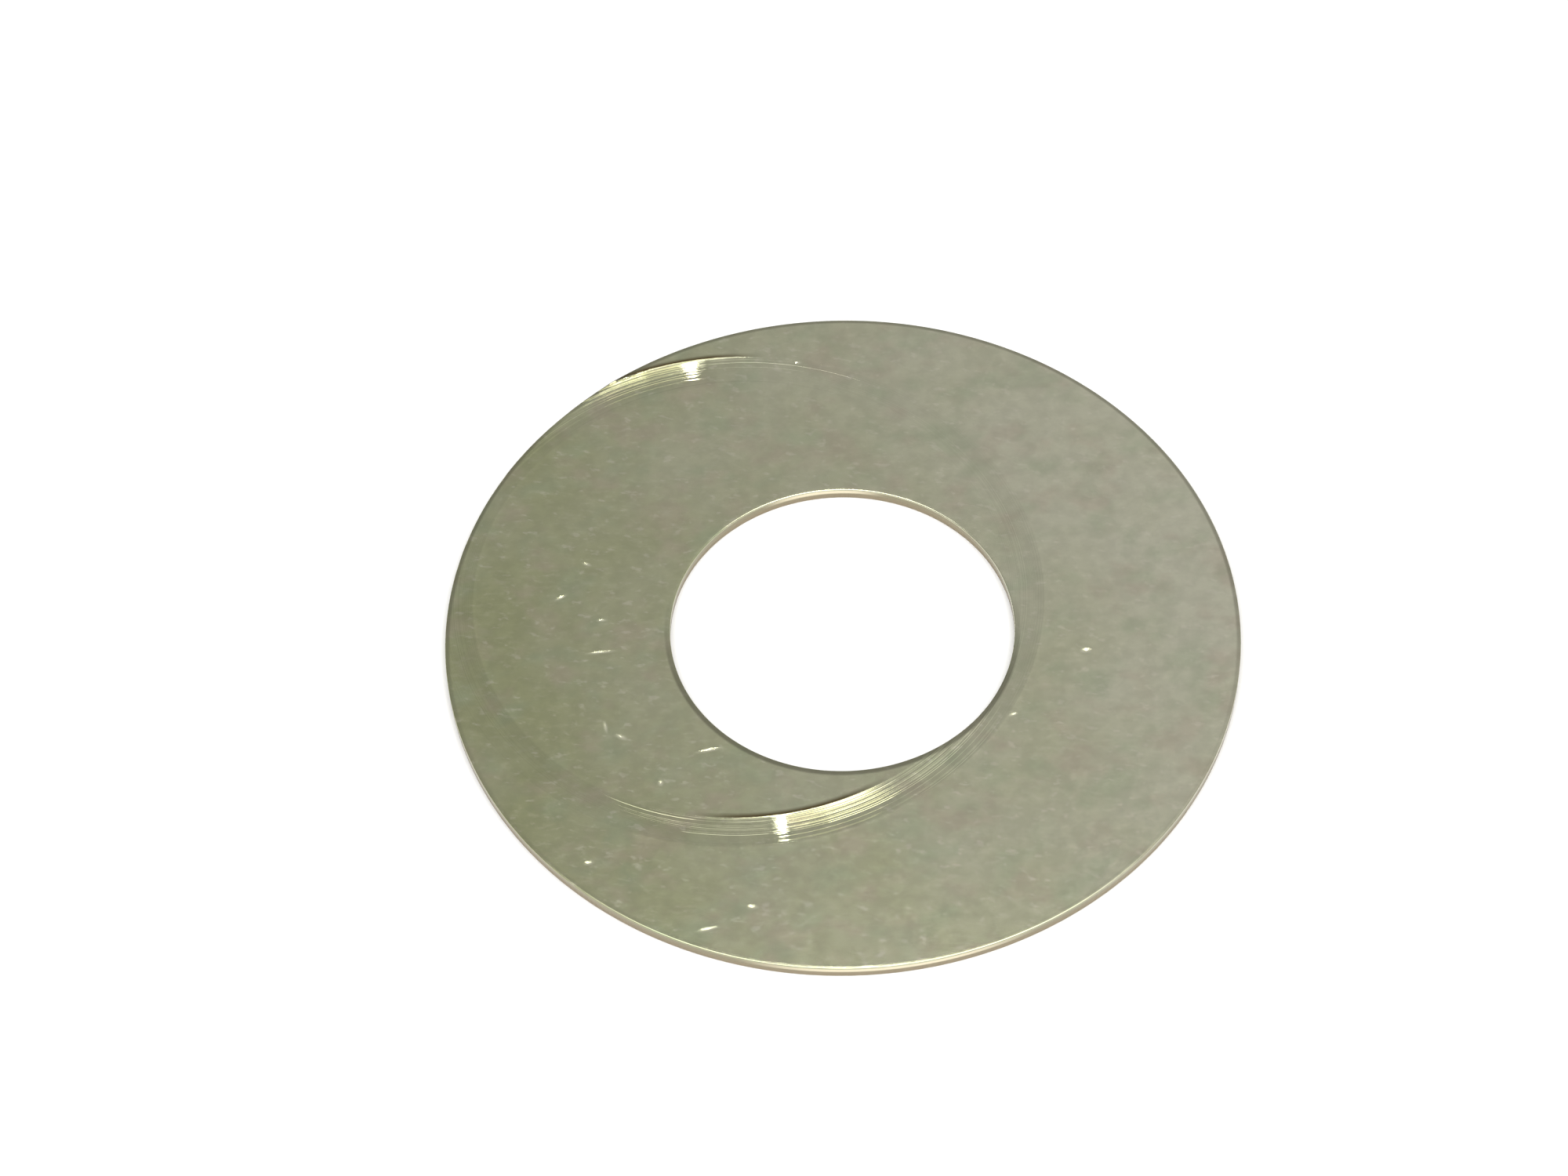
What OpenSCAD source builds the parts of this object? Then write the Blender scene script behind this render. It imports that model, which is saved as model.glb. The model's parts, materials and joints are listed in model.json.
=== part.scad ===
// Flat washer, blanked from thin plated steel sheet in one piece.
// The origin is the bore's centre on the flat underside, and +Z runs along the bore.
// Blanking rounds the edges of the upper face and leaves those of the lower face sharp.
// The upper face also carries a shallow ring groove, pressed into the sheet before the washer was
// blanked out of it off centre, so the rim and the bore each cut a stretch of the groove away.

/* [Washer] */
// Outer diameter of the washer
outer_d = 60; // [56:0.5:80]
// Diameter of the bore, a clearance hole for a 24 mm bolt
bore_d = 26; // [20:0.5:30]
// Thickness of the sheet
thickness = 1; // [0.8:0.1:3]

/* [Blanked edges] */
// Radius that blanking leaves on the rim's upper edge
rim_roll = 0.16; // [0.05:0.01:0.3]
// Radius that punching leaves on the bore's upper edge
bore_roll = 0.12; // [0.05:0.01:0.3]

/* [Pressed ring groove] */
// Radius of the groove's lowest line about the groove's own centre
groove_r = 21.7; // [20:0.1:23]
// Width of the groove from lip to lip
groove_w = 2.8; // [2:0.1:3.5]
// Depth of the groove below the upper face
groove_depth = 0.1; // [0.1:0.01:0.35]
// Distance of the groove's centre from the bore's axis
groove_offset = 8.4; // [5:0.1:9]
// Direction of the groove's centre, in degrees from +X towards +Y
groove_dir = 156.8; // [0:0.1:359.9]

/* [Hidden] */
rim_r = outer_d / 2;
bore_r = bore_d / 2;
// Straight steps that stand for each rounded edge in section
roll_steps = 6;
// Radius of the round-nosed section that cuts a groove of this width and depth
nose_r = (pow(groove_w / 2, 2) + pow(groove_depth, 2)) / (2 * groove_depth);
round_fn = 180;

// Points of a quarter round in section, from angle a0 to a1 about the given centre
function quarter(centre, r, a0, a1) = [
    for (i = [0 : roll_steps])
        let (a = a0 + (a1 - a0) * i / roll_steps)
        centre + r * [cos(a), sin(a)]
];

// The washer's section, with the bore's wall on the left and the rim on the right
module blank_section() {
    polygon(concat(
        [[bore_r, 0], [rim_r, 0]],
        quarter([rim_r - rim_roll, thickness - rim_roll], rim_roll, 0, 90),
        quarter([bore_r + bore_roll, thickness - bore_roll], bore_roll, 90, 180)
    ));
}

// The ring that the groove takes out of the upper face
module groove_cutter() {
    rotate(groove_dir)
        translate([groove_offset, 0, thickness - groove_depth + nose_r])
            rotate_extrude($fn = round_fn)
                translate([groove_r, 0])
                    circle(r = nose_r, $fn = round_fn);
}

module washer() {
    color([0.62, 0.61, 0.50])
        difference() {
            rotate_extrude($fn = round_fn)
                blank_section();
            groove_cutter();
        }
}

washer();
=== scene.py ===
import json
import math
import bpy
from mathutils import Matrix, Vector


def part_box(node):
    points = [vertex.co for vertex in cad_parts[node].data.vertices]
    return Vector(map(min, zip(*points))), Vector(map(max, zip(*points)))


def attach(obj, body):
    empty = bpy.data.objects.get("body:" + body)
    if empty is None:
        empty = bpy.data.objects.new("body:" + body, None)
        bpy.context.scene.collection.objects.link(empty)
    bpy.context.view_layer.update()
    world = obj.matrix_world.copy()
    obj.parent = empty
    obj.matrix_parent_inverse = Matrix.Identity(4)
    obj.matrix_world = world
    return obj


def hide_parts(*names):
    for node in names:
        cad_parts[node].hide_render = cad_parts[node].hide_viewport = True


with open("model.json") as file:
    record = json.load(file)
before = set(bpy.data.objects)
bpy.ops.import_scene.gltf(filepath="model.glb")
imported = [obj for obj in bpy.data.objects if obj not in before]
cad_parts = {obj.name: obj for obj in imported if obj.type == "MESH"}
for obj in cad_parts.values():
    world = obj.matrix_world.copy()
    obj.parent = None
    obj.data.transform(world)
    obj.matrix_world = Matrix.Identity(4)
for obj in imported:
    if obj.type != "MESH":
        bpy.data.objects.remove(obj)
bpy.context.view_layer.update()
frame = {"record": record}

from types import SimpleNamespace

import bpy
import numpy as np
from mathutils import Quaternion, Vector, noise
from mathutils.geometry import delaunay_2d_cdt

# ---------------------------------------------------------------------------------------------
# Sizes. The washer's own sizes are in millimetres, and MM turns them into the frame's metres.
# ---------------------------------------------------------------------------------------------
MM = 0.001
mounts = {m["name"]: m for m in frame["record"]["mounts"]}
low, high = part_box("washer")
RIM_R = (high.x - low.x) / 2 / MM
BORE_R = mounts["bore"]["dims"]["r_mm"]
TOP = high.z / MM

# Radii of the blanked upper edges, a little tighter than the CAD part's.
RIM_ROLL = 0.10
BORE_ROLL = 0.10

# The pressed ring groove: the CAD part's circle and width, and its depth where a bite's sharpness is 1.
GROOVE_R = 21.7
GROOVE_W = 2.8
GROOVE_DEPTH = 0.10
GROOVE_OFFSET = 8.4
GROOVE_DIR = math.radians(156.8)
GROOVE_X = GROOVE_OFFSET * math.cos(GROOVE_DIR)
GROOVE_Y = GROOVE_OFFSET * math.sin(GROOVE_DIR)
LIGHT_DEPTH = 0.045  # the groove's depth where the tool bit lightly

# Where the tool bit hardest, round the groove: direction, reach to each side in degrees, sharpness.
OUTER_BITE = ((112, 34, 1.2), (84, 30, 0.5), (-12, 40, 0.2))
INNER_BITE = ((283, 25, 0.85), (262, 21, 0.5), (186, 57, 0.3))
PLATEAU = 1.8  # above 1, a bite stays full for some way to each side of its middle
# Where the groove's outer lip runs closer to its middle, in the same form, and by how much.
NARROWING = ((268, 75, 1.0),)
NARROW = 0.25
# The groove's flank in section: how rounded it is, and how much of that a full bite takes away.
FLANK_ROUND = 1.7
FLANK_BITTEN = 0.9
# The metal pushed up beside a lip, where the tool bit lightly and where it bit hardest.
PILE_UP = (0.002, 0.03)
PILE_UP_W = 0.16
PILE_UP_FALL = 1.5
# Rings that the tool left inside the groove: pitch, slope in degrees, phase.
RIPPLES = ((0.23, 1.8, 0.4), (0.37, 1.6, 2.1), (0.61, 1.2, 4.4))
RIPPLE_FADE = 0.28  # share of the groove's half width in which they die out beside a lip
RING_LEAN = 1.0  # how far the finest rings, too fine for the mesh, lean the surface
# The burnished band reaches this close to a lip, and fades in over this width.
BAND_GAP = 0.02
BAND_FADE = 0.12

# Handling nicks on the upper face: place, length, width, depth, direction in degrees.
NICKS = (
    ((-18.15, 1.0), 0.75, 0.24, 0.03, 2),
    ((-18.2, -1.95), 2.1, 0.24, 0.03, 6),
    ((-17.7, -8.8), 0.95, 0.28, 0.03, -80),
    ((-16.5, -9.7), 0.95, 0.38, 0.03, -28),
    ((-10.0, -11.0), 1.8, 0.28, 0.03, 12),
    ((-13.55, -13.85), 0.5, 0.40, 0.035, 90),
    ((-18.7, -20.7), 0.7, 0.34, 0.05, 10),
    ((-6.8, -24.7), 0.8, 0.34, 0.05, 0),
    ((-10.0, -26.5), 1.5, 0.28, 0.03, 12),
    ((18.3, -2.6), 0.8, 0.40, 0.06, 0),
    ((12.6, -8.3), 0.6, 0.26, 0.03, 20),
    ((-3.1, 25.7), 0.5, 0.28, 0.015, 0),
    ((-21.3, 3.2), 0.9, 0.28, 0.04, 30),
    ((-19.4, 6.3), 0.7, 0.28, 0.04, -20),
)
NICK_LIP = 0.55  # metal pushed up round a nick, as a share of its depth
NICK_FALL = 1.2  # how quickly a nick dies out beyond its own size

# The sheared walls, burnished above and torn below. Heights are shares of the wall's own height.
TEAR_START = 0.5  # the torn part lies below this height
TEAR_BLEND = 0.12  # the height over which it blends in
TEAR_BACK = 0.012  # how far it is set back
TEAR_ROUGH = 0.01  # how far that varies from tear to tear
LOWER_BREAK = 0.015  # how much further back the wall's lowest loop is
RIM_TEARS = 60  # how close together the tears are, round the rim and round the bore
BORE_TEARS = 40

# The way towards the window, which is also the way that the walls face where their painted highlight is
# brightest.
FRONT = (0.10, -0.995, 0.0)

# How closely the skin's vertices lie: points in a loop or loops in a band, then distances.
EDGE_POINTS = 720
GROOVE_POINTS = 600
GROOVE_LOOPS = 73
WALL_ROWS = 12
UNDER_LOOPS = 14
ROLL_STEPS = [math.radians(a) for a in (0, 15, 30, 45, 60, 75, 90)]
EDGE_STEPS = [0.3, 0.55]  # loops on the flat face beside the rim and the bore
EDGE_LOOPS = len(ROLL_STEPS) + len(EDGE_STEPS)
GROOVE_MARGIN = np.array([0.06, 0.12, 0.2, 0.3, 0.45])  # loops beside the groove's lips
NICK_GRID = 0.07
NICK_REACH = (1.3, 1.6)  # half a nick's dense patch, in lengths and in widths of the nick
FACE_GRID = 0.8
ROW_SHARE = 0.866  # distance between the rows of a triangular grid, as a share of its pitch
DENSE_EDGE = 0.62  # the dense points stay this far from the rim and the bore
WIDE_EDGE = 0.9  # and the wide ones this far
WIDE_GROOVE = 0.7  # the wide points stay this far from the groove's lips
WIDE_NICK = 1.2  # and this far from the middle of a nick
SHARP_ANGLE = math.radians(50)


# ---------------------------------------------------------------------------------------------
# Node helpers
# ---------------------------------------------------------------------------------------------
def add(tree, kind, inputs=None, **settings):
    """A node of this kind with its settings made, and each input either set or linked."""
    made = tree.nodes.new(kind)
    for name, value in settings.items():
        setattr(made, name, value)
    for key, value in (inputs or {}).items():
        if isinstance(value, bpy.types.NodeSocket):
            tree.links.new(value, made.inputs[key])
        else:
            made.inputs[key].default_value = value
    return made


def sums(tree, operation, a, b=0.0, clamp=False):
    """One arithmetic step on two numbers."""
    made = add(tree, "ShaderNodeMath", {0: a, 1: b}, operation=operation, use_clamp=clamp)
    return made.outputs[0]


def times(tree, a, b):
    """One number times another."""
    return sums(tree, "MULTIPLY", a, b)


def times_plus(tree, a, factor, more):
    """A number times a factor, plus another number."""
    made = add(tree, "ShaderNodeMath", {0: a, 1: factor, 2: more}, operation="MULTIPLY_ADD")
    return made.outputs[0]


def vector(tree, operation, a, b=(0, 0, 0)):
    """One step on vectors that gives a vector."""
    return add(tree, "ShaderNodeVectorMath", {0: a, 1: b}, operation=operation).outputs["Vector"]


def measure(tree, operation, a, b=(0, 0, 0)):
    """One step on vectors that gives a number."""
    return add(tree, "ShaderNodeVectorMath", {0: a, 1: b}, operation=operation).outputs["Value"]


def scaled(tree, a, factor):
    """A vector or a colour times a number."""
    made = add(tree, "ShaderNodeVectorMath", {0: a, "Scale": factor}, operation="SCALE")
    return made.outputs["Vector"]


def ramp(tree, value, start, end, low=0.0, high=1.0):
    """low before start, high after end, and a smooth step between them."""
    made = add(
        tree, "ShaderNodeMapRange",
        {"Value": value, "From Min": start, "From Max": end, "To Min": low, "To Max": high},
        interpolation_type="SMOOTHSTEP",
    )
    return made.outputs[0]


def mix(tree, factor, a, b):
    """One colour mixed into another."""
    made = add(tree, "ShaderNodeMix", {0: factor}, data_type="RGBA")
    for key, value in ((6, a), (7, b)):
        if isinstance(value, bpy.types.NodeSocket):
            tree.links.new(value, made.inputs[key])
        else:
            made.inputs[key].default_value = value
    return made.outputs[2]


def grain(tree, place, scale, detail=2.0, roughness=0.5, stretch=(1, 1, 1), turn=0.0):
    """Noise of about this many features to a unit of length, stretched and turned about Z."""
    turned = add(tree, "ShaderNodeMapping", {0: place, "Rotation": (0, 0, math.radians(turn))})
    pulled = vector(tree, "MULTIPLY", turned.outputs[0], stretch)
    made = add(
        tree, "ShaderNodeTexNoise",
        {"Vector": pulled, "Scale": scale, "Detail": detail, "Roughness": roughness},
    )
    return made.outputs["Fac"]


def new_material(name):
    """A material with an empty node tree but for its Principled shader."""
    made = bpy.data.materials.new(name)
    made.use_nodes = True
    return made, made.node_tree, made.node_tree.nodes["Principled BSDF"]


# ---------------------------------------------------------------------------------------------
# The washer's shape
# ---------------------------------------------------------------------------------------------
def circle(radius, count, centre=(0.0, 0.0)):
    """Points spaced evenly round a circle."""
    a = np.arange(count) * 2 * math.pi / count
    return np.stack([centre[0] + radius * np.cos(a), centre[1] + radius * np.sin(a)], axis=1)


def bite(angle, places):
    """How hard the tool bit at each angle round the groove: 0, or up to the place's own sharpness."""
    found = np.zeros(len(angle))
    for centre, reach, sharpness in places:
        near = np.clip(1 - np.abs((angle - centre + 180) % 360 - 180) / reach, 0, 1)
        near = np.clip(near * PLATEAU, 0, 1)
        found = np.maximum(found, sharpness * near ** 2 * (3 - 2 * near))
    return found


def groove_place(p):
    """Each point's distance outwards from the groove's lowest line, its direction and the lip's distance."""
    dx, dy = p[:, 0] - GROOVE_X, p[:, 1] - GROOVE_Y
    across = np.hypot(dx, dy) - GROOVE_R
    angle = np.degrees(np.arctan2(dy, dx))
    half = GROOVE_W / 2 - np.where(across > 0, NARROW * bite(angle, NARROWING), 0)
    return across, angle, half


def band_share(p):
    """1 inside the groove, where the tool burnished the plating, and 0 on the rest of the face."""
    across, _, half = groove_place(p)
    inside = np.clip((half - BAND_GAP - np.abs(across)) / BAND_FADE, 0, 1)
    return inside ** 2 * (3 - 2 * inside)


def groove_height(p):
    """The upper face's height beside and inside the pressed groove, from the flat face."""
    across, angle, half = groove_place(p)
    outer, inner = bite(angle, OUTER_BITE), bite(angle, INNER_BITE)
    sharp = np.where(across > 0, outer, inner)
    share = np.clip(np.abs(across) / half, 0, 1)
    crest = PILE_UP[0] + (PILE_UP[1] - PILE_UP[0]) * sharp
    deep = LIGHT_DEPTH + (GROOVE_DEPTH - LIGHT_DEPTH) * np.maximum(outer, inner)
    bowl = -(deep + crest) * (1 - share ** 2) ** (FLANK_ROUND - FLANK_BITTEN * sharp) + crest
    outside = np.maximum(np.abs(across) - half, 0)
    pile = crest * np.exp(-((outside / PILE_UP_W) ** PILE_UP_FALL))
    fade = np.clip((1 - share) / RIPPLE_FADE, 0, 1)
    rings = 0
    for pitch, slope, phase in RIPPLES:
        rise = pitch / (2 * math.pi) * math.tan(math.radians(slope))
        rings = rings + rise * np.sin(across * 2 * math.pi / pitch + phase)
    return np.where(share < 1, bowl + rings * fade, pile)


def nick_distance(p, nick):
    """The square of each point's distance from a nick's middle, measured in the nick's own size."""
    (x, y), length, width, _, direction = nick
    c, s = math.cos(math.radians(direction)), math.sin(math.radians(direction))
    along = ((p[:, 0] - x) * c + (p[:, 1] - y) * s) / (length / 2)
    across = (-(p[:, 0] - x) * s + (p[:, 1] - y) * c) / (width / 2)
    return along ** 2 + across ** 2


def nick_height(p):
    """The dents that handling left, each with a low rim of pushed-up metal."""
    height = np.zeros(len(p))
    for nick in NICKS:
        depth = nick[3]
        away = nick_distance(p, nick)
        height += depth * (NICK_LIP * away - 1) * np.exp(-NICK_FALL * away)
    return height


def worn_share(p):
    """How far the plating's film is rubbed off at each point, from 0 to 1 in the middle of a nick."""
    worn = np.zeros(len(p))
    for nick in NICKS:
        worn = np.maximum(worn, np.exp(-NICK_FALL * nick_distance(p, nick) ** 1.5))
    return worn


def edge_drop(p):
    """How far blanking pulled the face down beside the rim and beside the bore."""
    r = np.hypot(p[:, 0], p[:, 1])
    rim = np.clip(r - (RIM_R - RIM_ROLL), 0, RIM_ROLL)
    bore = np.clip((BORE_R + BORE_ROLL) - r, 0, BORE_ROLL)
    return (
        RIM_ROLL - np.sqrt(RIM_ROLL ** 2 - rim ** 2)
        + BORE_ROLL - np.sqrt(BORE_ROLL ** 2 - bore ** 2)
    )


def on_face(points, gap):
    """The points that lie at least this far from the rim and the bore."""
    r = np.hypot(points[:, 0], points[:, 1])
    return points[(r > BORE_R + gap) & (r < RIM_R - gap)]


def edge_loops():
    """Loops round the rim's rounded edge and then round the bore's, each from the wall onto the face."""
    rim = [RIM_R - RIM_ROLL + RIM_ROLL * math.cos(a) for a in ROLL_STEPS]
    rim += [RIM_R - step for step in EDGE_STEPS]
    bore = [BORE_R + BORE_ROLL - BORE_ROLL * math.cos(a) for a in ROLL_STEPS]
    bore += [BORE_R + step for step in EDGE_STEPS]
    return [circle(r, EDGE_POINTS) for r in rim + bore]


def groove_loops():
    """Loops round the groove, from lip to lip and a little way beyond."""
    half = GROOVE_W / 2
    inner, outer = -half - GROOVE_MARGIN[::-1], half + GROOVE_MARGIN
    across = np.concatenate([inner, np.linspace(-half, half, GROOVE_LOOPS), outer])
    loops = [circle(GROOVE_R + a, GROOVE_POINTS, (GROOVE_X, GROOVE_Y)) for a in across]
    return np.concatenate(loops)


def nick_patches():
    """A dense patch of points on each nick, turned with it."""
    patches = []
    for (x, y), length, width, _, direction in NICKS:
        c, s = math.cos(math.radians(direction)), math.sin(math.radians(direction))
        u = np.arange(-NICK_REACH[0] * length, NICK_REACH[0] * length, NICK_GRID)
        v = np.arange(-NICK_REACH[1] * width, NICK_REACH[1] * width, NICK_GRID)
        u, v = (k.ravel() for k in np.meshgrid(u, v))
        patches.append(np.stack([x + u * c - v * s, y + u * s + v * c], axis=1))
    return patches


def wide_points(patches):
    """A wide triangular grid on the rest of the face."""
    rows = int(RIM_R / FACE_GRID / ROW_SHARE) + 1
    i, j = (k.ravel() for k in np.meshgrid(np.arange(-rows, rows + 1), np.arange(-rows, rows + 1)))
    grid = np.stack([(i + 0.5 * (j % 2)) * FACE_GRID, j * FACE_GRID * ROW_SHARE], axis=1)
    across = np.hypot(grid[:, 0] - GROOVE_X, grid[:, 1] - GROOVE_Y) - GROOVE_R
    grid = grid[np.abs(across) > GROOVE_W / 2 + WIDE_GROOVE]
    for patch in patches:
        x, y = patch.mean(axis=0)
        grid = grid[np.hypot(grid[:, 0] - x, grid[:, 1] - y) > WIDE_NICK]
    return grid


def face_points():
    """The upper face's vertices: dense at its edges, groove and nicks, and wide apart elsewhere."""
    patches = nick_patches()
    parts = edge_loops() + [on_face(groove_loops(), DENSE_EDGE)]
    parts += [on_face(patch, DENSE_EDGE) for patch in patches]
    parts += [on_face(wide_points(patches), WIDE_EDGE)]
    return np.concatenate(parts)


def upper_face():
    """The upper face's points and triangles, and the loops of points round its rim and its bore."""
    plan = face_points()
    z = TOP + groove_height(plan) + nick_height(plan) - edge_drop(plan)
    made = delaunay_2d_cdt([Vector(p) for p in plan], [], [], 0, 1e-7)
    order = [ids[0] for ids in made[3]]
    place = {old: new for new, old in enumerate(order)}
    rim_loop = [place[i] for i in range(EDGE_POINTS)]
    bore_start = EDGE_POINTS * EDGE_LOOPS
    bore_loop = [place[bore_start + i] for i in range(EDGE_POINTS)]
    on_bore = set(bore_loop)
    faces = [list(f) for f in made[2] if not on_bore.issuperset(f)]
    return np.column_stack([plan[order], z[order]]), faces, rim_loop, bore_loop


def wall(top_z, radius, outwards, tears):
    """Rows of points down a sheared wall: burnished above, then torn and slightly set back below."""
    a = np.arange(EDGE_POINTS) * 2 * math.pi / EDGE_POINTS
    rows = []
    for k in range(1, WALL_ROWS + 1):
        share = 1 - k / WALL_ROWS
        torn = np.clip((TEAR_START - share) / TEAR_BLEND, 0, 1)
        tear = np.array([
            noise.noise(Vector((math.cos(t) * tears, math.sin(t) * tears, share * 3))) for t in a
        ])
        back = torn * (TEAR_BACK + TEAR_ROUGH * tear)
        if k == WALL_ROWS:
            back = back + LOWER_BREAK
        r = radius - outwards * back
        rows.append(np.stack([r * np.cos(a), r * np.sin(a), top_z * share], axis=1))
    return rows


def washer_mesh():
    """One closed skin: the upper face, the two sheared walls and the underside."""
    face, faces, rim_loop, bore_loop = upper_face()
    points = [face]
    count = len(face)

    def ladder(loop, rows, flip):
        """Faces from this loop to each row in turn. Gives the last row's loop."""
        nonlocal count
        for row in rows:
            points.append(row)
            below = list(range(count, count + len(row)))
            count += len(row)
            for i in range(len(row)):
                n = (i + 1) % len(row)
                quad = [loop[i], below[i], below[n], loop[n]]
                faces.append(quad[::-1] if flip else quad)
            loop = below
        return loop

    rim_low = ladder(rim_loop, wall(face[rim_loop, 2], RIM_R, 1, RIM_TEARS), False)
    bore_low = ladder(bore_loop, wall(face[bore_loop, 2], BORE_R, -1, BORE_TEARS), True)
    radii = np.linspace(RIM_R - EDGE_STEPS[0], BORE_R + EDGE_STEPS[0], UNDER_LOOPS)
    under = [np.column_stack([circle(r, EDGE_POINTS), np.zeros(EDGE_POINTS)]) for r in radii]
    last = ladder(rim_low, under, False)
    for i in range(EDGE_POINTS):
        n = (i + 1) % EDGE_POINTS
        faces.append([last[i], bore_low[i], bore_low[n], last[n]])

    mesh = bpy.data.meshes.new("washer_body")
    mesh.from_pydata((np.concatenate(points) * MM).tolist(), [], faces)
    mesh.validate()
    mesh.polygons.foreach_set("use_smooth", [True] * len(mesh.polygons))
    mesh.set_sharp_from_angle(angle=SHARP_ANGLE)
    for name, share in (("worn", worn_share), ("band", band_share)):
        values = np.zeros(len(mesh.vertices))
        values[:len(face)] = share(face[:, :2])
        mesh.attributes.new(name, "FLOAT", "POINT").data.foreach_set("value", values)
    return mesh


# ---------------------------------------------------------------------------------------------
# The washer's finish
# ---------------------------------------------------------------------------------------------
# The plating's film on the face, and the colours painted as shade beside the groove's lips and along the
# face's edges.
THIN_FILM = (0.705, 0.69, 0.535, 1)
THICK_FILM = (0.46, 0.475, 0.275, 1)
BROWN_FILM = (0.60, 0.51, 0.40, 1)
GREEN_FILM = (0.47, 0.54, 0.36, 1)
PALE_GRAIN = (0.80, 0.76, 0.62, 1)
PALE_SPECK = (0.85, 0.80, 0.66, 1)
RUBBED_FILM_AND_GLINT = (0.88, 0.86, 0.66, 1)
LIP_SHADE = (0.16, 0.12, 0.05, 1)
EDGE_SHADE = (0.17, 0.16, 0.11, 1)
# The sheared walls: a darker colour that is painted shade, a painted highlight, and the torn part's own
# brown.
SHADED_WALL = (0.30, 0.27, 0.185, 1)
WALL_HIGHLIGHT = (0.82, 0.74, 0.55, 1)
TORN_WALL = (0.36, 0.29, 0.20, 1)

# How far the face's colour moves towards the darker, yellower film for each millimetre towards +X and
# towards +Y.
FILM_X = -0.0165
FILM_Y = -0.0045
# Where a dark line is painted as shade beside a lip: direction from the groove's centre, and 1 for the outer
# lip or -1 for the inner.
SHADED_LIPS = ((104, 1), (281, -1))
LIP_SHADE_REACH = 8  # how far from there the painted dark line fades out
# The radii between which a wall that faces inwards, at the bore, gives way to one that faces outwards.
MID_FACE = (20.0, 22.0)
# How much of the roughness and the relief the tool burnished away inside the groove.
BURNISHED = 0.85


def surface(tree):
    """Each shaded point's place in millimetres, its distances, and what the finish's parts share."""
    at = SimpleNamespace()
    raw = add(tree, "ShaderNodeTexCoord").outputs["Object"]
    at.place = vector(tree, "MULTIPLY", raw, (1 / MM,) * 3)
    at.x, at.y, at.z = add(tree, "ShaderNodeSeparateXYZ", {0: at.place}).outputs
    at.plan = vector(tree, "MULTIPLY", at.place, (1, 1, 0))
    at.radius = measure(tree, "LENGTH", at.plan)
    at.arm = vector(tree, "SUBTRACT", at.plan, (GROOVE_X, GROOVE_Y, 0))
    at.from_groove = measure(tree, "LENGTH", at.arm)
    at.band = add(tree, "ShaderNodeAttribute", attribute_name="band").outputs["Fac"]
    at.worn = add(tree, "ShaderNodeAttribute", attribute_name="worn").outputs["Fac"]
    at.clouds = grain(tree, at.place, 0.09, 3, 0.6)
    at.rolled = grain(tree, at.place, 1.3, 3, 0.6, (0.9, 1.9, 1), 4)
    at.edge = sums(
        tree, "ADD",
        ramp(tree, at.radius, RIM_R - 0.12, RIM_R - 0.05),
        ramp(tree, at.radius, BORE_R + 0.12, BORE_R + 0.05),
    )
    at.torn = times(tree, at.edge, ramp(tree, at.z, TOP * 0.52, TOP * 0.42))
    at.unburnished = sums(tree, "SUBTRACT", 1.0, times(tree, at.band, BURNISHED))
    return at


def film_colour(tree, at):
    """Grey zinc under a yellow film, the face darker and yellower towards -X and -Y, with blotches and
    specks.
    """
    drift = times_plus(tree, at.x, FILM_X, 0.5)
    drift = times_plus(tree, at.y, FILM_Y, drift)
    uneven = times(tree, sums(tree, "SUBTRACT", at.clouds, 0.5), 0.9)
    colour = mix(tree, sums(tree, "ADD", drift, uneven, True), THIN_FILM, THICK_FILM)
    blotch = grain(tree, at.place, 0.3, 2, 0.5, (1, 1.3, 1), 8)
    colour = mix(tree, ramp(tree, blotch, 0.48, 0.72, 0, 0.4), colour, BROWN_FILM)
    green = grain(tree, at.plan, 0.24, 2, 0.5, (1, 1.3, 1), -20)
    colour = mix(tree, ramp(tree, green, 0.48, 0.72, 0, 0.4), colour, GREEN_FILM)
    colour = mix(tree, ramp(tree, at.rolled, 0.5, 0.75, 0, 0.14), colour, PALE_GRAIN)
    speck = grain(tree, at.place, 1.3, 2, 0.5, (0.8, 1.4, 1), 10)
    colour = mix(tree, ramp(tree, speck, 0.60, 0.74, 0, 0.3), colour, PALE_SPECK)
    mottle = ramp(tree, grain(tree, at.place, 0.8, 3, 0.55), 0.3, 0.7, 0.95, 1.05)
    colour = scaled(tree, colour, mottle)
    # The rubbed film on the nicks is painted light enough to stand in part for their glints as a painted
    # highlight.
    return mix(tree, times(tree, at.worn, 0.7), colour, RUBBED_FILM_AND_GLINT)


def near_spot(tree, at, direction, radius, reach):
    """1 at a spot in this direction at this radius from the groove's centre, and 0 beyond its reach."""
    turn = math.radians(direction)
    spot = (GROOVE_X + radius * math.cos(turn), GROOVE_Y + radius * math.sin(turn), 0)
    return ramp(tree, measure(tree, "DISTANCE", at.plan, spot), reach, reach * 0.4)


def painted_lip_shade(tree, at, colour):
    """A dark brown line is painted as shade just outside the lips where the tool bit hardest, beside the
    groove's brightest reflections.
    """
    upper = ramp(tree, at.z, TOP * 0.55, TOP * 0.65)
    for direction, side in SHADED_LIPS:
        lip = GROOVE_R + side * GROOVE_W / 2
        line = times(
            tree,
            ramp(tree, at.from_groove, lip + side * 0.5, lip + side * 0.05),
            ramp(tree, at.from_groove, lip - side * 0.04, lip + side * 0.04),
        )
        line = times(tree, line, near_spot(tree, at, direction, lip, LIP_SHADE_REACH))
        colour = mix(tree, times(tree, line, upper), colour, LIP_SHADE)
    return colour


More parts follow.
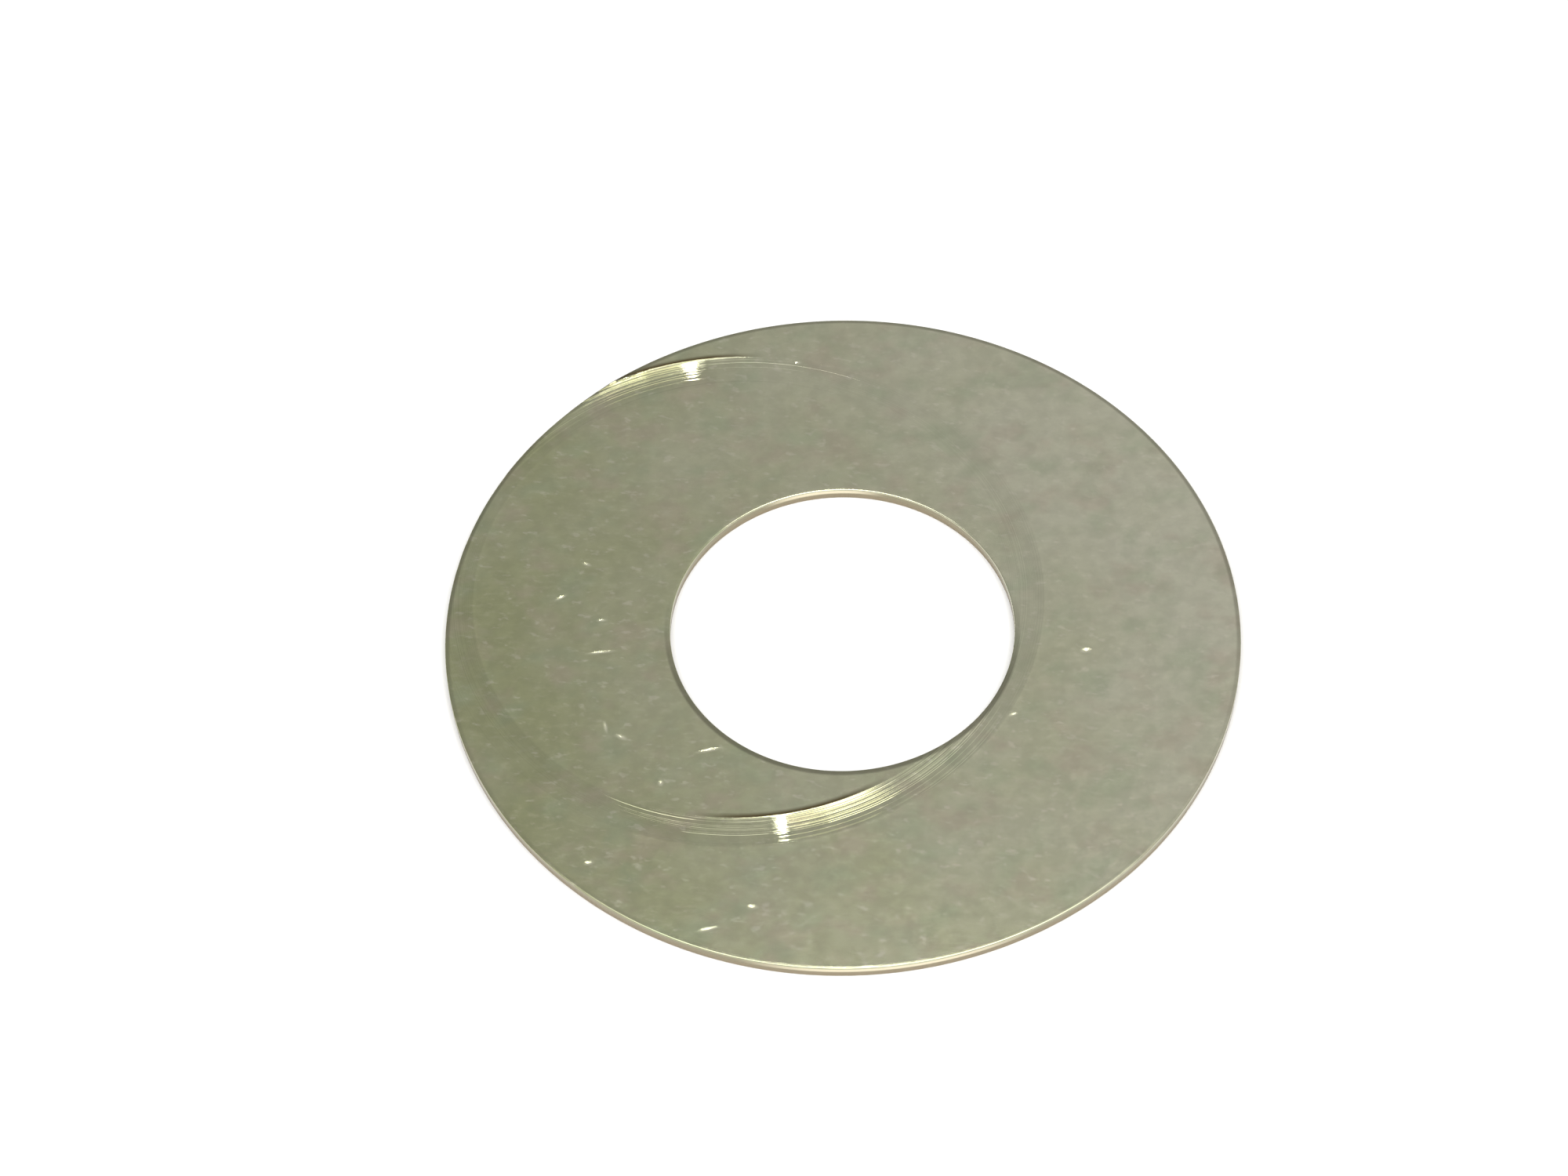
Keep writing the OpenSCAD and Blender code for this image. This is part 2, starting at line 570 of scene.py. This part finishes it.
def painted_edge_shade(tree, at, colour):
    """Shade painted along the face's edges, strongest at the bore's front and the rim's back, where the
    rounded edges face the dim horizon.
    """
    # Darker lines painted as shade along the rim and along the bore.
    rim_shade = times(
        tree,
        ramp(tree, at.radius, RIM_R - 0.42, RIM_R - 0.20),
        ramp(tree, at.y, -14.0, 6.0, 0.1, 0.5),
    )
    bore_shade = times(
        tree,
        ramp(tree, at.radius, BORE_R + 0.52, BORE_R + 0.30),
        ramp(tree, at.y, 4.0, -6.0, 0.0, 0.65),
    )
    on_top = ramp(tree, at.z, TOP - 0.15, TOP - 0.06)
    return mix(tree, times(tree, sums(tree, "ADD", rim_shade, bore_shade), on_top), colour, EDGE_SHADE)


def sheared_walls(tree, at, colour):
    """The walls are painted dark as painted shade, with a highlight painted above where they face the window
    in front, and brown where torn.
    """
    walls = sums(tree, "MULTIPLY", at.edge, ramp(tree, at.z, TOP - 0.08, TOP - 0.16), True)
    # The darker wall colour is painted shade.
    colour = mix(tree, walls, colour, SHADED_WALL)
    # A highlight is painted on the walls' upper part where they face the window.
    front = measure(tree, "DOT_PRODUCT", vector(tree, "NORMALIZE", at.plan), FRONT)
    facing = times(tree, front, ramp(tree, at.radius, *MID_FACE, -1.0, 1.0))
    painted_highlight = times(tree, ramp(tree, facing, 0.925, 0.998), ramp(tree, at.z, TOP * 0.50, TOP * 0.66))
    colour = mix(tree, times(tree, painted_highlight, walls), colour, WALL_HIGHLIGHT)
    return mix(tree, times(tree, at.torn, 0.5), colour, TORN_WALL)


def plating_roughness(tree, at):
    """Satin plating, burnished inside the groove, rougher where it is rubbed or torn."""
    satin = ramp(tree, at.clouds, 0.3, 0.7, 0.155, 0.185)
    rough = sums(tree, "ADD", satin, ramp(tree, at.rolled, 0.3, 0.7, -0.02, 0.02))
    rough = times(tree, rough, at.unburnished)
    rough = sums(tree, "ADD", rough, times(tree, at.worn, 0.10))
    return sums(tree, "ADD", rough, times(tree, at.torn, 0.25), True)


def plating_bump(tree, at):
    """Rolling grain and plating texture on the face, and tears down the walls."""
    skin = grain(tree, at.place, 3.0, 3, 0.6)
    height = sums(tree, "ADD", times(tree, at.rolled, 0.0008), times(tree, skin, 0.0008))
    height = times(tree, height, at.unburnished)
    angle = sums(tree, "ARCTAN2", at.y, at.x)
    tear_place = add(tree, "ShaderNodeCombineXYZ", {0: times(tree, angle, 120.0), 1: at.z}).outputs[0]
    tears = grain(tree, tear_place, 1.2, 3, 0.6, (1, 0.8, 1))
    height = sums(tree, "ADD", height, times(tree, times(tree, tears, at.torn), 0.03))
    return add(tree, "ShaderNodeBump", {"Height": height, "Distance": MM, "Strength": 1.0}).outputs[0]


def fine_rings(tree, at, normal):
    """Rings that the tool left inside the groove, too close together to see one by one."""
    # The rings of the groove's outer half are set a little apart from those of its inner half.
    shift = ramp(tree, at.from_groove, GROOVE_R - 0.2, GROOVE_R + 0.2, 0, 0.14)
    ring = sums(tree, "SUBTRACT", at.from_groove, shift)
    rings = add(
        tree, "ShaderNodeTexNoise", {"W": ring, "Scale": 25.0, "Detail": 2.0}, noise_dimensions="1D"
    ).outputs["Fac"]
    lean = times(tree, sums(tree, "SUBTRACT", rings, 0.5), times(tree, at.band, RING_LEAN))
    leaning = scaled(tree, vector(tree, "NORMALIZE", at.arm), lean)
    return vector(tree, "NORMALIZE", vector(tree, "ADD", normal, leaning))


def plated_steel():
    """Rolled sheet steel under a thin yellow-passivated zinc plating."""
    made, tree, shader = new_material("plated_steel")
    at = surface(tree)
    colour = film_colour(tree, at)
    for layer in (painted_lip_shade, painted_edge_shade, sheared_walls):
        colour = layer(tree, at, colour)
    tree.links.new(colour, shader.inputs["Base Color"])
    tree.links.new(plating_roughness(tree, at), shader.inputs["Roughness"])
    tree.links.new(fine_rings(tree, at, plating_bump(tree, at)), shader.inputs["Normal"])
    shader.inputs["Metallic"].default_value = 1.0
    return made


# ---------------------------------------------------------------------------------------------
# The washer
# ---------------------------------------------------------------------------------------------
washer = bpy.data.objects.new("washer_body", washer_mesh())
bpy.context.scene.collection.objects.link(washer)
washer.data.materials.append(plated_steel())
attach(washer, "root")
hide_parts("washer")


# ---------------------------------------------------------------------------------------------
# Stage, lights and camera, in metres
# ---------------------------------------------------------------------------------------------
FLOOR_HALF = 1.6
LAMP_YELLOW = (1, 0.97, 0.72)
LAMP_CREAM = (1, 0.97, 0.74)
LAMP_GREEN = (0.95, 1.0, 0.9)
PANEL_TURN = 15.5
TUBE_TURN = 7.8
# The camera: its lens in millimetres, its height and distance as seen from the middle of the washer's
# upper plane, the point of that plane that it aims at, and its turn about its own axis.
LENS = 99.07
ELEVATION = math.radians(54.475)
DISTANCE = 325.7 * MM
AIM = (-4.37 * MM, 3.73 * MM)
ROLL = math.radians(-2.104)


def floor():
    """A plain pale table top."""
    corners = [(-1, -1), (1, -1), (1, 1), (-1, 1)]
    mesh = bpy.data.meshes.new("floor")
    mesh.from_pydata([(x * FLOOR_HALF, y * FLOOR_HALF, 0) for x, y in corners], [], [(0, 1, 2, 3)])
    made = bpy.data.objects.new("floor", mesh)
    bpy.context.scene.collection.objects.link(made)
    material, tree, shader = new_material("pale_floor")
    raw = add(tree, "ShaderNodeTexCoord").outputs["Object"]
    soft = grain(tree, raw, 3.0, 2, 0.5)
    tree.links.new(
        mix(tree, soft, (0.90, 0.90, 0.895, 1), (0.92, 0.92, 0.915, 1)), shader.inputs["Base Color"]
    )
    shader.inputs["Roughness"].default_value = 0.9
    shader.inputs["Specular IOR Level"].default_value = 0.1
    mesh.materials.append(material)


def flat_lamp(name, x_range, y_range, height, radiance, colour=(1, 1, 1), turn=0.0):
    """A soft box that hangs level over the washer, given by the stretch of ceiling that it covers."""
    size = (x_range[1] - x_range[0], y_range[1] - y_range[0])
    data = bpy.data.lights.new(name, "AREA")
    data.shape = "RECTANGLE"
    data.size, data.size_y = size
    data.energy = radiance * math.pi * size[0] * size[1]
    data.color = colour
    made = bpy.data.objects.new(name, data)
    made.location = (sum(x_range) / 2, sum(y_range) / 2, height)
    made.rotation_euler = (0, 0, math.radians(turn))
    made.visible_camera = False
    bpy.context.scene.collection.objects.link(made)


def surroundings():
    """A pale room: dim at the horizon but for a window in front, brighter above, white to the camera."""
    world = bpy.data.worlds.new("surroundings")
    bpy.context.scene.world = world
    world.use_nodes = True
    tree = world.node_tree
    out = tree.nodes["World Output"]
    back = tree.nodes["Background"]
    look = add(tree, "ShaderNodeTexCoord").outputs["Generated"]
    x, _, z = add(tree, "ShaderNodeSeparateXYZ", {0: look}).outputs
    side = ramp(tree, x, -0.35, 0.35, 0.45, 0.56)
    rise = ramp(tree, z, 0.05, 0.44, 0.3, 1.0)
    window = ramp(tree, measure(tree, "DOT_PRODUCT", look, FRONT), 0.91, 0.975)
    tree.links.new(sums(tree, "ADD", times(tree, side, rise), window), back.inputs["Strength"])
    back.inputs["Color"].default_value = (1, 1, 1, 1)
    seen = add(tree, "ShaderNodeBackground", {"Color": (1, 1, 1, 1), "Strength": 1.0})
    rays = add(tree, "ShaderNodeLightPath").outputs["Is Camera Ray"]
    both = add(tree, "ShaderNodeMixShader", {0: rays, 1: back.outputs[0], 2: seen.outputs[0]})
    tree.links.new(both.outputs[0], out.inputs[0])


def camera():
    """A long lens above the front edge, aimed a little to the left of the bore and past its axis."""
    data = bpy.data.cameras.new("camera")
    data.sensor_width = 36.0
    data.lens = LENS
    made = bpy.data.objects.new("camera", data)
    back, up = DISTANCE * math.cos(ELEVATION), DISTANCE * math.sin(ELEVATION)
    made.location = Vector((0, -back, up + TOP * MM))
    made.rotation_mode = "QUATERNION"
    aim = Vector((*AIM, TOP * MM))
    level = (aim - made.location).to_track_quat("-Z", "Y")
    made.rotation_quaternion = level @ Quaternion((0, 0, 1), ROLL)
    bpy.context.scene.collection.objects.link(made)
    bpy.context.scene.camera = made


floor()
surroundings()
# Wide lamps that light the face, in four parts that leave the ceiling over the washer dimmer.
flat_lamp("overhead_left", (-0.75, -0.15), (-0.95, 0.06), 1.0, 3.2)
flat_lamp("overhead_right", (0.17, 0.75), (-0.95, 0.06), 1.0, 3.6)
flat_lamp("overhead_front", (-0.15, 0.17), (-0.95, -0.15), 1.0, 3.6)
flat_lamp("overhead_middle", (-0.14, 0.02), (-0.02, 0.12), 1.0, 1.3)
# Panels that the groove's two bright arcs reflect, and a dimmer one to their right.
flat_lamp("panel", (0.03, 0.14), (0.15, 0.36), 0.99, 2.8, LAMP_YELLOW, PANEL_TURN)
flat_lamp("panel_bright", (0.11, 0.22), (0.09, 0.24), 0.975, 3.6, LAMP_CREAM, PANEL_TURN)
flat_lamp("soft", (0.13, 0.40), (0.15, 0.46), 0.985, 0.6, LAMP_GREEN)
# Narrow lamps that make the small bright bars across the groove.
flat_lamp("tube_near", (0.0023, 0.0079), (0.30, 0.47), 0.98, 42.0, turn=TUBE_TURN)
flat_lamp("tube_middle", (0.0212, 0.0290), (0.16, 0.30), 0.98, 28.0, turn=TUBE_TURN)
flat_lamp("tube_far", (0.0235, 0.0515), (0.06, 0.16), 0.98, 6.0, turn=TUBE_TURN)
camera()
bpy.context.scene.view_settings.view_transform = "Standard"
